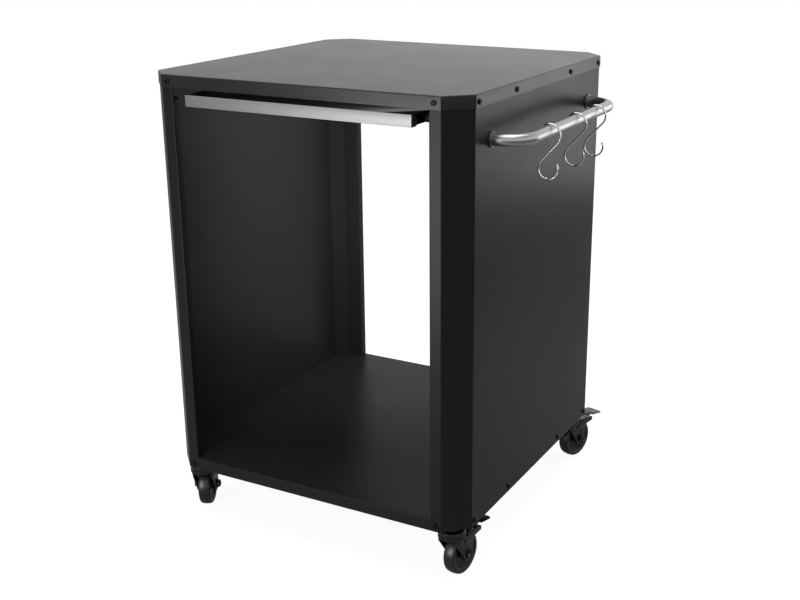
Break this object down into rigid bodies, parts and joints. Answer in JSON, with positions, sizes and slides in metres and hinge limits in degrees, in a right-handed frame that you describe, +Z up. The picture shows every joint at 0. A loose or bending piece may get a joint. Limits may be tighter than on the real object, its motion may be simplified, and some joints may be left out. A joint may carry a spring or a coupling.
{
  "type": "outdoor pizza oven table",
  "caption": "Square steel stand with a flat top, open bay, low shelf, sliding tray, side rail with hooks and swivel casters.",
  "frame": {"origin": "middle of the bounding box, on the floor that the wheels stand on", "axes": "+Z up, -Y towards the front where the tray opens, +X towards the side with the rail"},
  "size_m": [0.6978, 0.6813, 0.85],
  "materials": {
    "black_panel": "satin black powder coat, fine texture",
    "black_pan": "satin black powder coat on sheet steel",
    "stainless_front": "fine brushed along its length",
    "stainless_rail": "polished tube with a soft sheen",
    "stainless_hook": "polished round wire",
    "bright_screw": "polished pan heads",
    "black_screw": "black finish pan heads",
    "zinc_steel": "zinc plated",
    "runner_plastic": "smooth low friction plastic",
    "caster_steel": "semi gloss black on pressed steel",
    "axle_steel": "black finish bolt and nut",
    "hub_plastic": "moulded black plastic",
    "tyre_rubber": "smooth black rubber tread",
    "pedal_steel": "semi gloss black on pressed steel"
  },
  "bodies": {
    "frame": {"top_plate": "black_panel", "left_side_panel": "black_panel", "right_side_panel": "black_panel", "bottom_shelf": "black_panel", "top_screws": "black_screw", "top_nuts": "zinc_steel", "shelf_screws": "black_screw", "shelf_nuts": "zinc_steel", "rail_screws": "bright_screw", "rail_nuts": "zinc_steel", "side_rail": "stainless_rail", "rail_flanges": "stainless_rail", "left_tray_guide": "black_pan", "right_tray_guide": "black_pan", "guide_hangers": "black_pan", "guide_rivets": "zinc_steel", "caster_brackets": "black_pan", "caster_nuts": "zinc_steel", "caster_stem_front_left": "caster_steel", "caster_stem_front_right": "caster_steel", "caster_stem_rear_left": "caster_steel", "caster_stem_rear_right": "caster_steel"},
    "tray": {"tray_pan": "black_pan", "tray_front": "stainless_front", "tray_runners": "runner_plastic", "tray_screws": "zinc_steel"},
    "hook_front": {"hook_front": "stainless_hook"},
    "hook_middle": {"hook_middle": "stainless_hook"},
    "hook_rear": {"hook_rear": "stainless_hook"},
    "swivel_front_left": {"caster_fork_front_left": "caster_steel", "caster_axle_front_left": "axle_steel"},
    "wheel_front_left": {"wheel_hub_front_left": "hub_plastic", "wheel_tyre_front_left": "tyre_rubber"},
    "swivel_front_right": {"caster_fork_front_right": "caster_steel", "caster_axle_front_right": "axle_steel", "brake_pins_front_right": "axle_steel"},
    "wheel_front_right": {"wheel_hub_front_right": "hub_plastic", "wheel_tyre_front_right": "tyre_rubber"},
    "pedal_front_right": {"brake_pedal_front_right": "pedal_steel"},
    "swivel_rear_left": {"caster_fork_rear_left": "caster_steel", "caster_axle_rear_left": "axle_steel"},
    "wheel_rear_left": {"wheel_hub_rear_left": "hub_plastic", "wheel_tyre_rear_left": "tyre_rubber"},
    "swivel_rear_right": {"caster_fork_rear_right": "caster_steel", "caster_axle_rear_right": "axle_steel", "brake_pins_rear_right": "axle_steel"},
    "wheel_rear_right": {"wheel_hub_rear_right": "hub_plastic", "wheel_tyre_rear_right": "tyre_rubber"},
    "pedal_rear_right": {"brake_pedal_rear_right": "pedal_steel"}
  },
  "joints": [
    {"name": "tray_slide", "type": "slide", "parent": "frame", "child": "tray", "axis": [0, -1, 0], "range_m": [0, 0.35]},
    {"name": "hook_front_swing", "type": "hinge", "parent": "frame", "child": "hook_front", "pos_m": [0.3269, -0.1338, 0.771], "axis": [0, -1, 0], "range_deg": [-25, 70]},
    {"name": "hook_middle_swing", "type": "hinge", "parent": "frame", "child": "hook_middle", "pos_m": [0.3269, -0.0168, 0.771], "axis": [0, -1, 0], "range_deg": [-25, 70]},
    {"name": "hook_rear_swing", "type": "hinge", "parent": "frame", "child": "hook_rear", "pos_m": [0.3269, 0.0782, 0.771], "axis": [0, -1, 0], "range_deg": [-25, 70]},
    {"name": "caster_swivel_front_left", "type": "hinge", "parent": "frame", "child": "swivel_front_left", "pos_m": [-0.3066, -0.2958, 0.088], "axis": [0, 0, 1], "continuous": true},
    {"name": "wheel_spin_front_left", "type": "hinge", "parent": "swivel_front_left", "child": "wheel_front_left", "pos_m": [-0.3182, -0.27253, 0.04], "axis": [0.8949, 0.4462, 0], "continuous": true},
    {"name": "caster_swivel_front_right", "type": "hinge", "parent": "frame", "child": "swivel_front_right", "pos_m": [0.2344, -0.2958, 0.088], "axis": [0, 0, 1], "continuous": true},
    {"name": "wheel_spin_front_right", "type": "hinge", "parent": "swivel_front_right", "child": "wheel_front_right", "pos_m": [0.23757, -0.26999, 0.04], "axis": [0.9925, -0.1219, 0], "continuous": true},
    {"name": "brake_pedal_front_right", "type": "hinge", "parent": "swivel_front_right", "child": "pedal_front_right", "pos_m": [0.23586, -0.28389, 0.074], "axis": [-0.9925, 0.1219, 0], "range_deg": [0, 11]},
    {"name": "caster_swivel_rear_left", "type": "hinge", "parent": "frame", "child": "swivel_rear_left", "pos_m": [-0.3066, 0.2402, 0.088], "axis": [0, 0, 1], "continuous": true},
    {"name": "wheel_spin_rear_left", "type": "hinge", "parent": "swivel_rear_left", "child": "wheel_rear_left", "pos_m": [-0.31022, 0.26595, 0.04], "axis": [0.9903, 0.1392, 0], "continuous": true},
    {"name": "caster_swivel_rear_right", "type": "hinge", "parent": "frame", "child": "swivel_rear_right", "pos_m": [0.2344, 0.2402, 0.088], "axis": [0, 0, 1], "continuous": true},
    {"name": "wheel_spin_rear_right", "type": "hinge", "parent": "swivel_rear_right", "child": "wheel_rear_right", "pos_m": [0.24135, 0.26525, 0.04], "axis": [0.9636, -0.2672, 0], "continuous": true},
    {"name": "brake_pedal_rear_right", "type": "hinge", "parent": "swivel_rear_right", "child": "pedal_rear_right", "pos_m": [0.23761, 0.25176, 0.074], "axis": [-0.9636, 0.2672, 0], "range_deg": [0, 11]}
  ]
}
